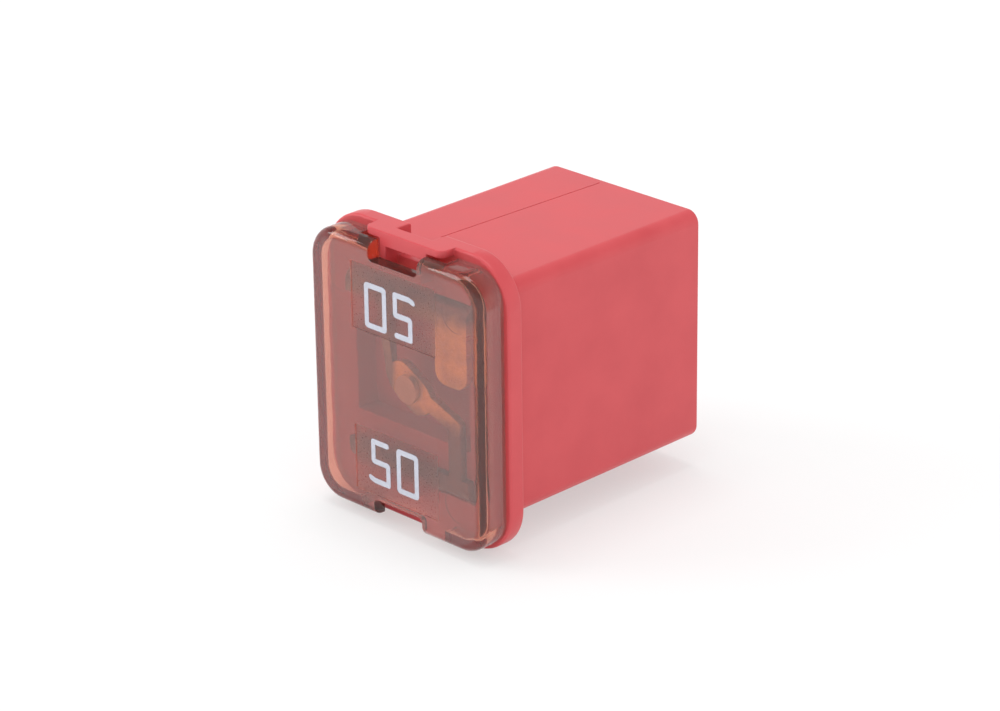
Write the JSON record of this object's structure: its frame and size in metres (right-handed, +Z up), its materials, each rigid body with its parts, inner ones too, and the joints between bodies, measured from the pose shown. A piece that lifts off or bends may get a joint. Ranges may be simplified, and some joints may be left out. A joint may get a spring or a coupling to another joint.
{
  "type": "cartridge fuse",
  "caption": "Low-profile cartridge fuse: a moulded box with a rim flange, a clear tinted cap over an S-shaped fuse link, a puller bar and sprung blade sockets at the open end.",
  "frame": {"origin": "centre of the bounding box's underside; the fuse lies on its side on the flange's lower edge", "axes": "+X to the right as seen from the cap, +Y from the cap towards the open terminal end, +Z up towards the puller bar"},
  "size_m": [0.012, 0.0154, 0.0146],
  "materials": {
    "housing_plastic": "red moulded plastic, satin",
    "cap_plastic": "clear plastic with a smoky amber tint, grained panels on its front",
    "element_metal": "plated copper alloy, satin",
    "tin": "dull tin",
    "spring_steel": "bright spring sheet",
    "white_ink": "thin white print"
  },
  "bodies": {
    "root": {"housing": "housing_plastic", "cap": "cap_plastic", "fuse_element": "element_metal", "tin_rivet": "tin", "clip_upper": "spring_steel", "clip_lower": "spring_steel"}
  },
  "joints": []
}
